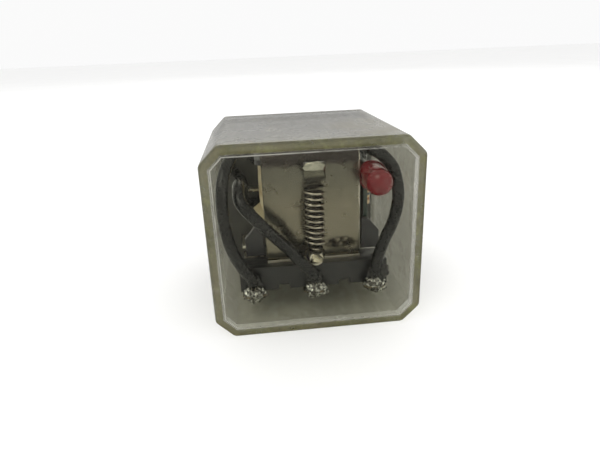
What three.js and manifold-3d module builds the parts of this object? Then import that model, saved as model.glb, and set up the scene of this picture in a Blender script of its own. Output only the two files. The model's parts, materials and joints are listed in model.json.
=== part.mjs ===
// A plug-in control relay: three changeover poles, a clear dust cover, a blade base and an indicator lamp.
//
// Millimetres, +Z up. The closed end of the cover faces -Y and the blades point to +Y, as the relay sits
// when it is plugged into a socket on an upright panel. Inside this file a point is given as (x, y, z) with
// y = 0 on the outside of the cover's closed end and x = z = 0 on the cover's centre line. The last lines
// move the whole relay so that its origin is the bottom centre of its bounding box.

import * as THREE from 'three';
import { mergeVertices } from 'three/addons/utils/BufferGeometryUtils.js';
import Module from 'manifold-3d';

const wasm = await Module();
wasm.setup();

// ---------------------------------------------------------------- driving dimensions

const gap = 0.1;                    // clearance between pieces that rest on each other

const cover = { width: 38.9, height: 36.2, length: 36, wall: 1.5, chamfer: 3.3 };
const base = { plugDepth: 3.5, plugClearance: 0.15, flange: 1.6, flangeInset: 0.4 };
const blade = { width: 4.75, thick: 0.6, length: 9.2, tip: 0.9, hole: 0.75 };
const polePitch = 11.9;
const poles = [-1, 0, 1];           // left, middle and right pole, in pole pitches
const poleNames = ['left', 'middle', 'right'];

const motorX = 0.4;                 // the motor sits a little right, which leaves room for the middle lead
const frame = { width: 18.8, thick: 1.8, front: 9.4, top: 14.6, bottom: -6.9, rear: 32.2, bend: 2.4 };
const coil = { centreY: 20, flangeWidth: 21, flangeDepth: 17, flange: 1, bottom: -5.6, top: 12.6 };
const core = { radius: 4, shoe: 5.2, shoeHeight: 1.2, pole: -6.85, neck: 2.4, head: 3.4 };

const hinge = { y: frame.front, z: -7 };
const openAngle = THREE.MathUtils.degToRad(3.5);
const armature = { width: 18.6, thick: 1.6, lip: 0.5, reach: 15.6 };
const carrier = { width: 29, front: -3, rear: 6.5, top: -1.7, bottom: -5.1 };
const arm = { width: 4.6, thick: 0.35, top: -5.2, front: -5.4, rear: 20.2 };
const contact = { radius: 1.5, reach: 18.6, movingHeight: 0.6, fixedHeight: 0.5, gap: 0.08 };

const spring = { radius: 1.72, wire: 0.27, y: 6.6, bottom: -2.7, top: 8.2, turns: 10, loop: 1.6 };
const lead = { radius: 1.15, sides: 10 };
const lamp = { x: 12.3, z: 8.8, tip: 2.4, radius: 2.5, flangeRadius: 2.9, flangeFront: 9.9, rear: 11 };
const board = { x: 11.05, thick: 0.85, front: 12.2, rear: 29, bottom: -4, top: 11 };

// Worked out from the dimensions above.
const baseInner = cover.length + gap - base.plugDepth;
const flangeRear = cover.length + gap + base.flange;
const bladeTip = flangeRear + blade.length;
const armMiddle = arm.top - arm.thick / 2;
const contactOpenZ = hinge.z - contact.reach * Math.sin(openAngle) + armMiddle * Math.cos(openAngle);
const contactClosedZ = hinge.z + armMiddle;
const contactY = hinge.y + contact.reach - 0.2;
const movingHalf = arm.thick / 2 + contact.movingHeight;
const closedContactTop = contactOpenZ - movingHalf - contact.gap;      // top of the normally closed buttons
const openContactBottom = contactClosedZ + movingHalf + contact.gap;   // underside of the normally open ones
const rows = {
  nc: closedContactTop - contact.fixedHeight - blade.thick / 2,
  no: openContactBottom + contact.fixedHeight + blade.thick / 2,
  common: 1.5,
  coil: 11.9,
};
const stripFront = 25.6;            // where the fixed contact strips begin
const tabFront = 30.4;              // where the solder tabs of the common and coil blades begin

// ---------------------------------------------------------------- materials

const finish = (color, roughness, metalness, extra = {}) =>
  new THREE.MeshStandardMaterial({ color, roughness, metalness, ...extra });

const clearPlastic = finish(0xb9b8a8, 0.15, 0, { transparent: true, opacity: 0.35 });
const basePlastic = finish(0x77766a, 0.5, 0);
const blackPlastic = finish(0x242424, 0.45, 0);
const bobbinPlastic = finish(0x3b3a39, 0.5, 0);
const nickelSteel = finish(0xa7a294, 0.28, 1);
const softIron = finish(0x8c8a84, 0.4, 1);
const tinnedBrass = finish(0xb7b3a4, 0.3, 1);
const springBronze = finish(0xb98a55, 0.35, 1);
const silver = finish(0xd8d6d0, 0.3, 1);
const solder = finish(0xc2c3c0, 0.25, 1);
const springSteel = finish(0x9b978c, 0.3, 1);
const copper = finish(0xa95d2c, 0.4, 1);
const tapeCream = finish(0xc9b98e, 0.6, 0);
const sleeve = finish(0x2c2b2a, 0.7, 0);
const redLens = finish(0x9c2a34, 0.2, 0, { transparent: true, opacity: 0.85 });
const boardGreen = finish(0x24302a, 0.5, 0);
const resistorBody = finish(0xb79a6b, 0.5, 0);

// ---------------------------------------------------------------- geometry helpers

// A closed three.js geometry as a manifold-3d solid, for joining and cutting.
function solid(geometry) {
  const bare = geometry.clone();
  bare.deleteAttribute('normal');
  bare.deleteAttribute('uv');
  const merged = mergeVertices(bare, 1e-4);
  return new wasm.Manifold(new wasm.Mesh({
    numProp: 3,
    vertProperties: new Float32Array(merged.attributes.position.array),
    triVerts: new Uint32Array(merged.index.array),
  }));
}

function geometryOf(manifold) {
  const mesh = manifold.getMesh();
  const geometry = new THREE.BufferGeometry();
  geometry.setAttribute('position', new THREE.BufferAttribute(new Float32Array(mesh.vertProperties), 3));
  geometry.setIndex(new THREE.BufferAttribute(new Uint32Array(mesh.triVerts), 1));
  geometry.computeVertexNormals();
  return geometry;
}

const join = (first, ...others) =>
  geometryOf(others.reduce((sum, other) => sum.add(solid(other)), solid(first)));

const cut = (first, ...others) =>
  geometryOf(others.reduce((rest, other) => rest.subtract(solid(other)), solid(first)));

// A box from its lowest and highest corner on each axis.
function box([x0, x1], [y0, y1], [z0, z1]) {
  const geometry = new THREE.BoxGeometry(x1 - x0, y1 - y0, z1 - z0);
  return geometry.translate((x0 + x1) / 2, (y0 + y1) / 2, (z0 + z1) / 2);
}

const around = (middle, size) => [middle - size / 2, middle + size / 2];

// A shape drawn in the two axes other than `axis`, in X, Y, Z order, and pulled from `from` to `to`.
function prism(shape, axis, from, to, curveSegments = 6) {
  const geometry = new THREE.ExtrudeGeometry(shape, { depth: to - from, bevelEnabled: false, curveSegments });
  const turn = new THREE.Matrix4();
  if (axis === 'x') turn.set(0, 0, 1, from, 1, 0, 0, 0, 0, 1, 0, 0, 0, 0, 0, 1);
  if (axis === 'y') turn.set(1, 0, 0, 0, 0, 0, -1, to, 0, 1, 0, 0, 0, 0, 0, 1);
  if (axis === 'z') turn.makeTranslation(0, 0, from);
  return geometry.applyMatrix4(turn);
}

function polygon(points) {
  return new THREE.Shape(points.map(([a, b]) => new THREE.Vector2(a, b)));
}

// A rectangle with its four corners cut at 45 degrees.
function chamferedRectangle(width, height, chamfer) {
  const [w, h] = [width / 2, height / 2];
  return polygon([
    [-w + chamfer, -h], [w - chamfer, -h], [w, -h + chamfer], [w, h - chamfer],
    [w - chamfer, h], [-w + chamfer, h], [-w, h - chamfer], [-w, -h + chamfer],
  ]);
}

function roundedRectangle(width, height, radius) {
  const [w, h] = [width / 2, height / 2];
  const shape = new THREE.Shape();
  shape.absarc(w - radius, h - radius, radius, 0, Math.PI / 2);
  shape.absarc(-w + radius, h - radius, radius, Math.PI / 2, Math.PI);
  shape.absarc(-w + radius, -h + radius, radius, Math.PI, Math.PI * 1.5);
  shape.absarc(w - radius, -h + radius, radius, Math.PI * 1.5, Math.PI * 2);
  return shape;
}

// A turned piece: its profile is [radius, height] pairs, and its axis runs along `axis` through `at`.
function turned(profile, axis, at, segments = 24) {
  const geometry = new THREE.LatheGeometry(profile.map(([r, h]) => new THREE.Vector2(r, h)), segments);
  if (axis === 'z') geometry.rotateX(Math.PI / 2);
  return geometry.translate(...at);
}

// A plain round bar along `axis` from `from` to `to`; `at` gives the other two coordinates.
function bar(radius, axis, at, from, to, segments = 24) {
  return turned([[0, from], [radius, from], [radius, to], [0, to]], axis, at, segments);
}

// A round wire of the given radius along a smooth curve.
function wire(curve, radius, sides, steps) {
  const section = new THREE.Shape();
  section.absarc(0, 0, radius, 0, Math.PI * 2);
  return new THREE.ExtrudeGeometry(section, { extrudePath: curve, steps, curveSegments: sides / 2 });
}

const through = (points) =>
  new THREE.CatmullRomCurve3(points.map((p) => new THREE.Vector3(...p)), false, 'centripetal');

const mesh = (name, geometry, material) => {
  const piece = new THREE.Mesh(geometry, material);
  piece.name = name;
  return piece;
};

// ---------------------------------------------------------------- dust cover

function dustCover() {
  const outer = chamferedRectangle(cover.width, cover.height, cover.chamfer);
  const innerChamfer = cover.chamfer - cover.wall * (2 - Math.SQRT2);
  const inner = chamferedRectangle(cover.width - 2 * cover.wall, cover.height - 2 * cover.wall, innerChamfer);
  const shell = cut(
    prism(outer, 'y', 0, cover.length),
    prism(inner, 'y', cover.wall, cover.length + 1),
  );
  return mesh('dust_cover', shell, clearPlastic);
}

// ---------------------------------------------------------------- base with its blades

const frameScrews = { spacing: 12.4, y: 30.8, shank: 0.9, head: 1.7, headHeight: 1.1, postBottom: 8.4 };

// Every blade of the base: its name, its column and row, and where its strip begins inside.
const blades = [
  ...poles.map((pole, i) => ({ name: `nc_blade_${poleNames[i]}`, pole, z: rows.nc, inner: stripFront })),
  ...poles.map((pole, i) => ({ name: `no_blade_${poleNames[i]}`, pole, z: rows.no, inner: stripFront })),
  ...poles.map((pole, i) => ({ name: `common_blade_${poleNames[i]}`, pole, z: rows.common, inner: tabFront })),
  { name: 'coil_blade_left', pole: -1, z: rows.coil, inner: tabFront },
  { name: 'coil_blade_right', pole: 1, z: rows.coil, inner: tabFront },
];

function baseBlock() {
  const inset = 2 * (cover.wall + base.plugClearance);
  const plug = chamferedRectangle(cover.width - inset, cover.height - inset, cover.chamfer - 0.8);
  const flangeInset = 2 * base.flangeInset;
  const flange = chamferedRectangle(cover.width - flangeInset, cover.height - flangeInset, cover.chamfer);
  const posts = [-1, 1].map((side) => box(
    around(motorX + side * frameScrews.spacing / 2, 3.4),
    [coil.centreY + coil.flangeDepth / 2 + 0.3, baseInner + 1],
    [frameScrews.postBottom, frame.top - frame.thick - gap],
  ));
  const body = join(
    prism(plug, 'y', baseInner, flangeRear - base.flange / 2),
    prism(flange, 'y', cover.length + gap, flangeRear),
    ...posts,
  );
  const slots = blades.map(({ pole, z }) => box(
    around(pole * polePitch, blade.width + 2 * gap),
    [baseInner - 1, flangeRear + 1],
    around(z, blade.thick + 2 * gap),
  ));
  const screwHoles = [-1, 1].map((side) => bar(
    frameScrews.shank + gap, 'z', [motorX + side * frameScrews.spacing / 2, frameScrews.y, 0],
    frameScrews.postBottom + 0.8, frame.top, 12,
  ));
  return mesh('base_block', cut(body, ...slots, ...screwHoles), basePlastic);
}

// A flat blade with a pointed tip and a small hole, and its strip or solder tab inside the base.
function bladeMesh({ name, pole, z, inner }) {
  const half = blade.width / 2;
  const outline = polygon([
    [-half, inner], [half, inner], [half, bladeTip - 2 * blade.tip], [half - blade.tip, bladeTip],
    [-half + blade.tip, bladeTip], [-half, bladeTip - 2 * blade.tip],
  ]);
  const hole = new THREE.Path();
  hole.absarc(0, flangeRear + blade.length / 2, blade.hole, 0, Math.PI * 2, true);
  outline.holes.push(hole);
  const piece = mesh(name, prism(outline, 'z', ...around(z, blade.thick), 5), tinnedBrass);
  piece.position.x = pole * polePitch;
  return piece;
}

// A domed contact button; `up` is 1 where it stands on top of its strip and -1 where it hangs below.
function button(height, up) {
  const rim = contact.radius;
  const profile = [[0, 0], [rim, 0], [rim, height * 0.7], [rim * 0.7, height * 0.95], [0, height]];
  const geometry = turned(profile, 'z', [0, 0, 0], 16);
  return up > 0 ? geometry : geometry.rotateX(Math.PI);
}

function fixedContacts() {
  return poles.flatMap((pole, i) => {
    const nc = mesh(`nc_contact_${poleNames[i]}`, button(contact.fixedHeight - gap / 4, 1), silver);
    nc.position.set(pole * polePitch, contactY, rows.nc + blade.thick / 2 + gap / 4);
    const no = mesh(`no_contact_${poleNames[i]}`, button(contact.fixedHeight - gap / 4, -1), silver);
    no.position.set(pole * polePitch, contactY, rows.no - blade.thick / 2 - gap / 4);
    return [nc, no];
  });
}

// ---------------------------------------------------------------- frame, core and coil

// The neck and T-shaped head that hold a spring loop: the head faces the closed end of the cover.
const springHook = { neck: 1.2, headBack: 6.1, headFront: 5 };

function frameMesh() {
  const profile = new THREE.Shape();
  const { front, thick, top, bottom, rear, bend } = frame;
  profile.moveTo(front, bottom);
  profile.lineTo(front + thick, bottom);
  profile.lineTo(front + thick, top - bend);
  profile.absarc(front + bend, top - bend, bend - thick, Math.PI, Math.PI / 2, true);
  profile.lineTo(rear, top - thick);
  profile.lineTo(rear, top);
  profile.lineTo(front + bend, top);
  profile.absarc(front + bend, top - bend, bend, Math.PI / 2, Math.PI, false);
  const half = frame.width / 2;
  const upperLoop = spring.top + 0.95 + spring.loop;
  const prongs = [-1, 1].map((side) => box(
    around(side * (half - 1.1), 2.2), [front, front + thick], [bottom - 1.35, bottom + 0.5],
  ));
  const neck = box(around(0, springHook.neck), [springHook.headBack - 0.2, front + 0.5],
    [upperLoop + 0.05, upperLoop + 1.1]);
  const head = box(around(0, 3.9), [springHook.headFront, springHook.headBack],
    [upperLoop - 1.05, upperLoop + 2.4]);
  const bracket = join(prism(profile, 'x', -half, half), ...prongs, neck, head);
  const rearCorner = (side) => box(
    side > 0 ? [half - 0.9, half + 1] : [-half - 1, -half + 0.9], [28, rear + 1], [top - 2 * thick, top + 1],
  );
  const screwHole = (side) => bar(frameScrews.shank + 0.25, 'z',
    [side * frameScrews.spacing / 2, frameScrews.y, 0], top - 2 * thick, top + 1, 16);
  const geometry = cut(bracket, rearCorner(-1), rearCorner(1), screwHole(-1), screwHole(1),
    bar(core.neck + 0.2, 'z', [0, coil.centreY, 0], top - 2 * thick, top + 1));
  const piece = mesh('frame', geometry, nickelSteel);
  piece.position.x = motorX;
  return piece;
}

function frameScrew(side, name) {
  const { shank, head, headHeight, postBottom } = frameScrews;
  const seat = frame.top + gap;
  const body = turned([
    [0, postBottom + 1], [shank, postBottom + 1], [shank, seat], [head, seat],
    [head, seat + headHeight * 0.55], [head * 0.7, seat + headHeight], [0, seat + headHeight],
  ], 'z', [0, 0, 0], 16);
  const slot = (turn) => box([-head * 0.62, head * 0.62], [-0.22, 0.22],
    [seat + headHeight * 0.4, seat + headHeight + 1]).rotateZ(turn);
  const piece = mesh(name, cut(body, slot(0), slot(Math.PI / 2)), tinnedBrass);
  piece.position.set(motorX + side * frameScrews.spacing / 2, frameScrews.y, 0);
  return piece;
}

const shading = { inner: 1.9, outer: 3, depth: 0.9 };

// The iron core: its pole shoe below the bobbin, its neck through the heel of the frame, and a clenched head.
function coreMesh() {
  const { radius, shoe, shoeHeight, pole, neck, head } = core;
  const heel = frame.top - frame.thick - gap;
  const groove = shading.depth + gap;
  const profile = [
    [0, pole], [shading.inner - gap, pole], [shading.inner - gap, pole + groove],
    [shading.outer + gap, pole + groove], [shading.outer + gap, pole], [shoe, pole],
    [shoe, pole + shoeHeight], [radius, pole + shoeHeight],
    [radius, heel], [neck, heel], [neck, frame.top + gap], [head, frame.top + gap],
    [head * 0.85, frame.top + 0.7], [0, frame.top + 0.9],
  ];
  return mesh('core', turned(profile, 'z', [motorX, coil.centreY, 0], 32), softIron);
}

function shadingRing() {
  const { inner, outer, depth } = shading;
  const top = core.pole + depth;
  const profile = [[inner, core.pole], [outer, core.pole], [outer, top], [inner, top], [inner, core.pole]];
  return mesh('shading_ring', turned(profile, 'z', [motorX, coil.centreY, 0], 32), copper);
}

// The bobbin: a tube, two flanges, and two wings that stand beside the frame's front leg.
function bobbin() {
  const { flangeWidth, flangeDepth, flange, bottom, top, centreY } = coil;
  const plate = roundedRectangle(flangeWidth, flangeDepth, 2);
  const at = (geometry) => geometry.translate(0, centreY, 0);
  const frontEdge = centreY - flangeDepth / 2;
  const wing = (side) => {
    const [near, far, slope] = [frame.width / 2 + 0.5, 13.4, 2.6];
    const outline = polygon([[near, -6.2], [far, -6.2], [far, -slope], [far - 2.2, 0], [near, 0]]
      .map(([x, z]) => [side * x, z]));
    const web = box(side > 0 ? [near, far] : [-far, -near], [frontEdge - 1.5, frontEdge + 2.5],
      [bottom, bottom + flange]);
    return [prism(outline, 'y', frontEdge - 1.5, frontEdge - 0.1), web];
  };
  const body = join(
    at(prism(plate, 'z', bottom, bottom + flange, 4)),
    at(prism(plate, 'z', top - flange, top, 4)),
    at(bar(core.radius + 1.2, 'z', [0, 0, 0], bottom + 0.2, top - 0.2, 24)),
    ...wing(-1), ...wing(1),
  );
  const bore = bar(core.radius + 0.2, 'z', [0, centreY, 0], bottom - 1, top + 1, 24);
  const piece = mesh('bobbin', cut(body, bore), bobbinPlastic);
  piece.position.x = motorX;
  return piece;
}

const winding = { width: 19.2, depth: 15.4, radius: 5.5, tape: 0.4 };

function windingAndTape() {
  const [from, to] = [coil.bottom + coil.flange + gap, coil.top - coil.flange - gap];
  const { width, depth, radius, tape } = winding;
  const at = ([name, geometry, material]) => {
    const piece = mesh(name, geometry, material);
    piece.position.set(motorX, coil.centreY, 0);
    return piece;
  };
  const wound = cut(
    prism(roundedRectangle(width, depth, radius), 'z', from, to, 6),
    bar(core.radius + 1.2 + gap, 'z', [0, 0, 0], from - 1, to + 1, 24),
  );
  const outside = roundedRectangle(width + 2 * tape, depth + 2 * tape, radius + tape);
  const inside = roundedRectangle(width + 2 * gap, depth + 2 * gap, radius + gap);
  const wrap = cut(
    prism(outside, 'z', from + 0.2, to - 0.2, 6),
    prism(inside, 'z', from - 1, to + 1, 6),
  );
  return [['coil_winding', wound, copper], ['coil_tape', wrap, tapeCream]].map(at);
}

// ---------------------------------------------------------------- armature and moving contacts

// This group's own frame has its origin on the hinge line: y runs back along the armature and z is up.
// The armature is drawn closed, flat against the pole, and the group's turn lets it drop open.
const armatureGroup = new THREE.Group();
armatureGroup.position.set(0, hinge.y, hinge.z);
armatureGroup.rotation.x = -openAngle;

function armaturePlate() {
  const { width, thick, lip, reach } = armature;
  const half = width / 2;
  const plate = box([-half, half], [-lip, reach], [-thick, 0]);
  const notch = (side) => box(
    side > 0 ? [half - 2.5, half + 1] : [-half - 1, -half + 2.5],
    [-0.35, frame.thick + 0.45], [-thick - 1, 1],
  );
  const loopZ = spring.bottom - 0.95 - spring.loop - hinge.z;
  const neckBottom = loopZ - 1.05;
  const neckBack = springHook.headBack - hinge.y;
  const riser = box(around(0, 3), [-lip - 1, -lip + 0.1], [-thick, neckBottom + 0.9]);
  const neck = box(around(0, springHook.neck), [neckBack - 0.2, -lip - 0.5], [neckBottom, neckBottom + 0.9]);
  const head = turned([[0, -0.9], [1.35, -0.9], [1.35, 0.1], [0, 0.1]], 'y',
    [0, neckBack, neckBottom + 0.35], 16);
  const rivetHole = (side) => bar(1.1, 'z', [side * 5, 4.5, 0], -thick - 1, 1, 12);
  const body = join(plate, riser, neck, head);
  const piece = mesh('armature', cut(body, notch(-1), notch(1), rivetHole(-1), rivetHole(1)), nickelSteel);
  piece.position.x = motorX;
  return piece;
}

// The black block that holds the three contact arms under the armature.
function contactCarrier() {
  const { width, front, rear, top, bottom } = carrier;
  const half = width / 2;
  const block = box([-half, half], [front, rear], [bottom, top]);
  const wall = box([-half, half], [front, -armature.lip - 0.3], [bottom, -0.4]);
  const riserSlot = box(around(motorX, 3.6), [-armature.lip - 1.3, 0], [top, 1]);
  const gapBetween = (side) => box(
    around(side * polePitch / 2, 2.2), [front - 1, front + 2], [bottom - 1, bottom + 1.2],
  );
  const rivetHole = (side) => bar(1.1, 'z', [motorX + side * 5, 4.5, 0], bottom - 1, top + 1, 12);
  const armRivetHole = (pole) => bar(0.9, 'z', [pole * polePitch, 1.2, 0], bottom - 1, top + 1, 12);
  return mesh('contact_carrier', cut(
    join(block, wall), riserSlot, gapBetween(-1), gapBetween(1),
    rivetHole(-1), rivetHole(1), ...poles.map(armRivetHole),
  ), blackPlastic);
}

function carrierRivet(side, name) {
  const [low, high] = [carrier.bottom - gap, gap / 2];
  const profile = [
    [0, low - 0.5], [1.5, low - 0.5], [1.7, low], [0.95, low], [0.95, high],
    [1.7, high], [1.4, high + 0.35], [0, high + 0.4],
  ];
  const piece = mesh(name, turned(profile, 'z', [0, 0, 0], 16), tinnedBrass);
  piece.position.set(motorX + side * 5, 4.5, 0);
  return piece;
}

function contactArm(pole, name) {
  const half = arm.width / 2;
  const outline = polygon([
    [-half, arm.front + 1], [-half + 1, arm.front], [half - 1, arm.front], [half, arm.front + 1],
    [half, 7], [half - 0.7, 9], [half - 0.7, arm.rear - 1], [half - 1.7, arm.rear],
    [-half + 1.7, arm.rear], [-half + 0.7, arm.rear - 1], [-half + 0.7, 9], [-half, 7],
  ]);
  const hole = (y, radius) => {
    const path = new THREE.Path();
    path.absarc(0, y, radius, 0, Math.PI * 2, true);
    outline.holes.push(path);
  };
  hole(1.2, 0.8);
  hole(contact.reach, 0.8);
  const piece = mesh(name, prism(outline, 'z', arm.top - arm.thick, arm.top, 5), springBronze);
  piece.position.x = pole * polePitch;
  return piece;
}

// The double-sided silver button at the end of an arm, riveted through it.
function movingContact(pole, name) {
  const { radius, movingHeight } = contact;
  const side = [[radius, gap / 4], [radius, movingHeight * 0.7], [radius * 0.7, movingHeight * 0.95]];
  const upper = side.map(([r, h]) => [r, arm.thick / 2 + h]);
  const lower = side.map(([r, h]) => [r, -arm.thick / 2 - h]).reverse();
  const shank = 0.7;
  const profile = [
    [0, -movingHalf], ...lower, [shank, -arm.thick / 2 - gap / 4],
    [shank, arm.thick / 2 + gap / 4], ...upper, [0, movingHalf],
  ];
  const piece = mesh(name, turned(profile, 'z', [0, 0, 0], 16), silver);
  piece.position.set(pole * polePitch, contact.reach, armMiddle);
  return piece;
}

function armRivet(pole, name) {
  const low = arm.top - arm.thick - gap / 2;
  const profile = [
    [0, low - 0.55], [1.1, low - 0.5], [1.5, low], [0.7, low], [0.7, carrier.top - 0.6], [0, carrier.top - 0.6],
  ];
  const piece = mesh(name, turned(profile, 'z', [0, 0, 0], 14), tinnedBrass);
  piece.position.set(pole * polePitch, 1.2, 0);
  return piece;
}

// The mound of solder that fixes a flexible lead to the front end of its arm.
const joint = { y: -4.2, radius: 1.9, height: 1.3 };

function solderJoint(pole, name) {
  const { radius, height } = joint;
  const profile = [
    [0, 0], [radius, 0], [radius * 0.85, height * 0.55], [radius * 0.5, height * 0.9], [0, height],
  ];
  const piece = mesh(name, turned(profile, 'z', [0, 0, 0], 14).scale(1.15, 0.62, 1), solder);
  piece.position.set(pole * polePitch, joint.y, arm.top + gap / 2);
  return piece;
}

// ---------------------------------------------------------------- return spring

// One curve: the upper loop, the close coils and the lower loop.
function springCurve() {
  const { radius, y, bottom, top, turns, loop } = spring;
  const points = [];
  const add = (x, depth, z) => points.push([motorX + x, y + depth, z]);
  const arc = (centreZ, from, to, count) => {
    for (let i = 0; i <= count; i += 1) {
      const angle = THREE.MathUtils.degToRad(from + (to - from) * i / count);
      add(loop * Math.sin(angle), 0, centreZ + loop * Math.cos(angle));
    }
  };
  arc(top + 0.95 + loop, -150, 150, 14);
  const perTurn = 12;
  for (let i = 0; i <= turns * perTurn; i += 1) {
    const angle = 2 * Math.PI * i / perTurn;
    add(radius * Math.cos(angle), radius * Math.sin(angle), top + (bottom - top) * i / (turns * perTurn));
  }
  arc(bottom - 0.95 - loop, 30, 330, 14);
  return through(points);
}

// ---------------------------------------------------------------- flexible leads

// Each lead rises from the solder on its arm, passes the front of the coil and runs back to a common blade.
const leadStart = (pole) => {
  const [dy, dz] = [joint.y, arm.top + joint.height + 2 * gap];
  return [
    pole * polePitch,
    hinge.y + dy * Math.cos(openAngle) + dz * Math.sin(openAngle),
    hinge.z - dy * Math.sin(openAngle) + dz * Math.cos(openAngle),
  ];
};
const tabTop = rows.common + blade.thick / 2 + 2 * gap;

const leadRoutes = {
  left: [
    leadStart(-1), [-12.3, 4.7, -8.4], [-13.6, 4.6, -6.4], [-15, 4.8, -3.6], [-16.1, 5.2, 0.2],
    [-16.5, 5.8, 4.4], [-16.4, 7.2, 8.6], [-15.4, 10, 12], [-14.2, 14, 13.4], [-14, 19, 13],
    [-14.8, 24, 11], [-15.3, 28, 7.6], [-13.9, 30.6, 5.2], [-13.2, 31.1, 3.6], [-13.1, 31.2, tabTop],
  ],
  middle: [
    leadStart(0), [-0.5, 4.7, -8.6], [-2, 4.6, -6.7], [-4.4, 4.7, -3.6], [-7.3, 5, -0.5],
    [-10.6, 5.4, 3], [-13.2, 7, 6], [-13.5, 10.5, 8], [-13.3, 15, 7.4], [-13, 20, 5],
    [-12.9, 25, 1.6], [-12, 28.9, -0.8], [-9.4, 31, -1.2], [-6.6, 31.1, 0.2], [-4.4, 31.1, 1.3],
    [-2.65, 31.1, 1.5],
  ],
  right: [
    leadStart(1), [11.9, 4.9, -8.6], [12.5, 5.4, -6.2], [13.9, 6, -3], [15.6, 6.4, 0.6],
    [16.5, 6.7, 4.6], [16.3, 6.9, 8], [15.3, 7.2, 11.1], [13.3, 7.9, 13.4], [11.6, 10, 14.2],
    [11.3, 14, 14.4], [11.7, 20, 14], [13, 25, 12.2], [14.6, 28.2, 8.8], [14.3, 30.6, 5.8],
    [13.3, 31.1, 3.6], [13.1, 31.2, tabTop],
  ],
};

function leadMesh(name) {
  const curve = through(leadRoutes[name]);
  return mesh(`lead_${name}`, wire(curve, lead.radius, lead.sides, 34), sleeve);
}

// ---------------------------------------------------------------- indicator lamp and its board

function lampLens() {
  const { x, z, tip, radius, flangeRadius, flangeFront, rear } = lamp;
  const profile = [[0, tip]];
  for (let i = 1; i <= 5; i += 1) {
    const angle = Math.PI / 2 * i / 5;
    profile.push([radius * Math.sin(angle), tip + radius * (1 - Math.cos(angle))]);
  }
  profile.push([radius, flangeFront], [flangeRadius, flangeFront], [flangeRadius, rear], [0, rear]);
  const flat = box([x - 5, x - radius + 0.1], [flangeFront, rear + 1], around(z, 8));
  const body = turned(profile, 'y', [x, 0, z], 24);
  return mesh('lamp_lens', cut(body, flat), redLens);
}

function lampPin(side, name) {
  const { x, z, rear } = lamp;
  return mesh(name, box(around(x, 0.5), [rear + gap, 17], around(z + side * 1.27, 0.5)), tinnedBrass);
}

function indicatorBoard() {
  const { x, thick, front, rear, bottom, top } = board;
  const plate = box([x, x + thick], [front, rear], [bottom, top]);
  const notch = box([x - 1, x + thick + 1], [rear - 4, rear + 1], [bottom - 1, bottom + 5]);
  return mesh('indicator_board', cut(plate, notch), boardGreen);
}

const faceX = board.x + board.thick;

function boardComponent(name, y, radius, length, material) {
  const [low, high] = around(3, length);
  const neck = radius * 0.35;
  const profile = [
    [0, low - 1.2], [neck, low - 1.2], [neck, low], [radius, low + 0.3], [radius, high - 0.3],
    [neck, high], [neck, high + 1.2], [0, high + 1.2],
  ];
  return mesh(name, turned(profile, 'z', [faceX + radius + gap, y, 0], 16), material);
}

const thinWire = (name, points, material = sleeve) => mesh(name, wire(through(points), 0.35, 6, 16), material);

function supplyWires() {
  const tabBottom = rows.coil - blade.thick / 2;
  return [
    thinWire('board_wire_right', [
      [11.6, 29.4, 8.2], [11.7, 30.3, 8.6], [11.9, 31, 9.6], [11.9, 31.2, tabBottom - gap],
    ]),
    thinWire('board_wire_left', [
      [11.6, 29.4, 6.2], [9.4, 30.8, 6], [4, 31.2, 6.4], [-4, 31.2, 6.4], [-8.6, 31.2, 7],
      [-11, 31.2, 8.8], [-11.4, 31.2, tabBottom - gap],
    ]),
  ];
}

function coilWires() {
  const tabTopZ = rows.coil + blade.thick / 2 + gap;
  const rear = coil.centreY + coil.flangeDepth / 2;
  return [-1, 1].map((side, i) => thinWire(`coil_wire_${['left', 'right'][i]}`, [
    [motorX + side * 8.8, rear + 0.45, 11.1], [motorX + side * 9.6, rear + 0.9, 11.9],
    [side * 10.6, rear + 1.5, 13], [side * 11.4, rear + 1.9, 13], [side * 11.7, rear + 2, tabTopZ],
  ], copper));
}

// ---------------------------------------------------------------- the relay

armatureGroup.add(
  armaturePlate(), contactCarrier(),
  carrierRivet(-1, 'carrier_rivet_left'), carrierRivet(1, 'carrier_rivet_right'),
  ...poles.flatMap((pole, i) => [
    contactArm(pole, `contact_arm_${poleNames[i]}`),
    movingContact(pole, `moving_contact_${poleNames[i]}`),
    armRivet(pole, `arm_rivet_${poleNames[i]}`),
    solderJoint(pole, `solder_joint_${poleNames[i]}`),
  ]),
);

const inside = new THREE.Group();
inside.add(
  dustCover(), baseBlock(), ...blades.map(bladeMesh), ...fixedContacts(),
  frameMesh(), frameScrew(-1, 'frame_screw_left'), frameScrew(1, 'frame_screw_right'),
  coreMesh(), shadingRing(), bobbin(), ...windingAndTape(),
  armatureGroup,
  mesh('return_spring', wire(springCurve(), spring.wire, 6, 170), springSteel),
  ...poleNames.map(leadMesh),
  lampLens(), lampPin(-1, 'lamp_pin_lower'), lampPin(1, 'lamp_pin_upper'),
  indicatorBoard(),
  boardComponent('resistor', 19.5, 1.1, 6.2, resistorBody),
  boardComponent('diode', 24, 0.85, 4.2, blackPlastic),
  ...supplyWires(), ...coilWires(),
);
inside.position.set(0, -bladeTip / 2, cover.height / 2);

const relay = new THREE.Group();
relay.add(inside);
export default relay;
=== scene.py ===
import json
import math

import bmesh
import bpy
from mathutils import Matrix, Vector, noise

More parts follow.
